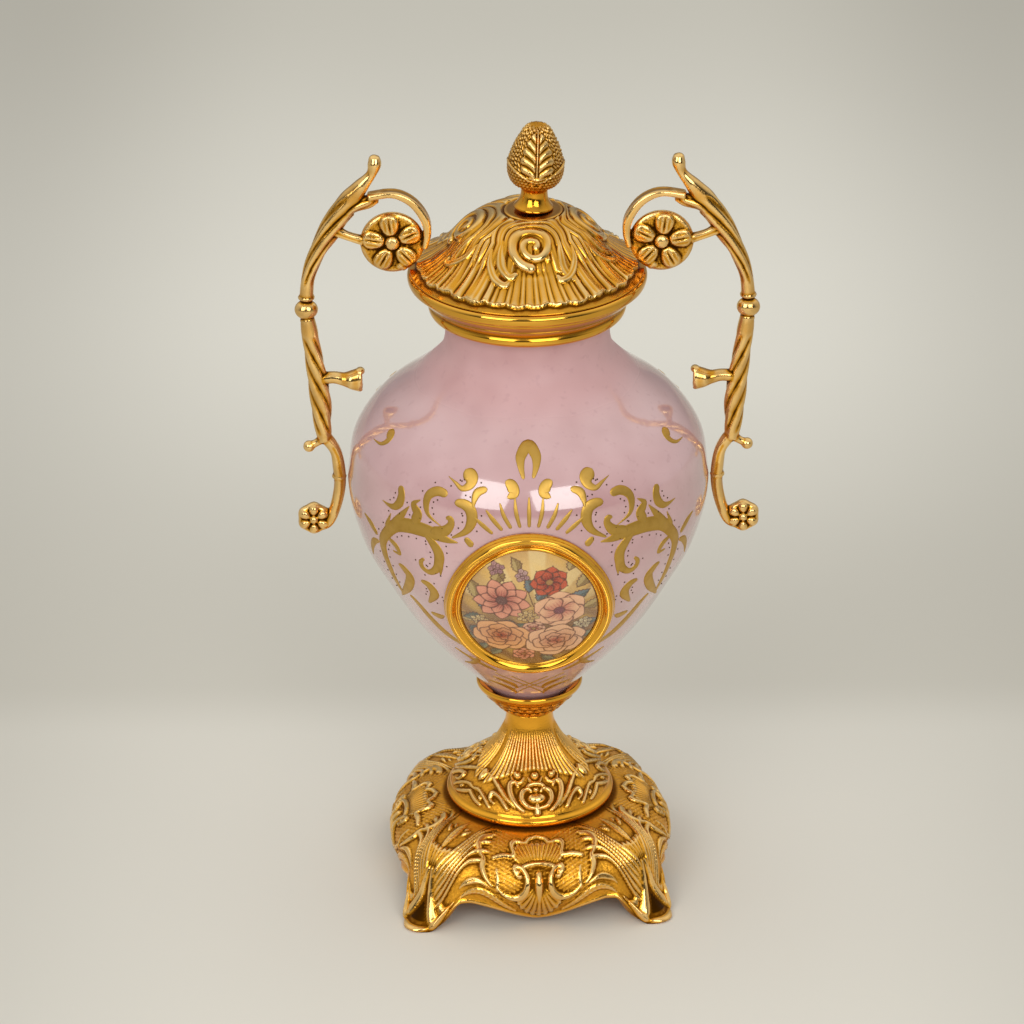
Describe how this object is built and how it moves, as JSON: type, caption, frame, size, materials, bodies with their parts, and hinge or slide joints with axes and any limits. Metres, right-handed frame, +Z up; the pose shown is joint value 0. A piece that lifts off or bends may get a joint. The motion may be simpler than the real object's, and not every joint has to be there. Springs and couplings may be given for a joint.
{
  "type": "lidded mantel urn",
  "caption": "Lidded porcelain mantel urn with scroll handles, oval floral plaque and cast brass mounts on a square footed base.",
  "frame": {"origin": "on the floor under the vessel's axis", "axes": "+Z up along the vessel's axis, -Y towards the front with the plaque, +X through the right handle"},
  "size_m": [0.2424, 0.1927, 0.4299],
  "materials": {
    "cast_brass": "cast relief, burnished on the high places, warm brown in the hollows",
    "polished_brass": "turned and mirror polished",
    "pink_glaze": "glossy pink glaze with flat gilt scrollwork",
    "plaque_glaze": "glazed plaque painted with flowers"
  },
  "bodies": {
    "root": {"base": "cast_brass", "pedestal": "cast_brass", "cup": "polished_brass", "body": "pink_glaze", "medallion_frame": "polished_brass", "medallion_plaque": "plaque_glaze", "collar": "polished_brass", "lid": "cast_brass", "finial": "cast_brass", "handle_left": "cast_brass", "handle_right": "cast_brass"}
  },
  "joints": []
}
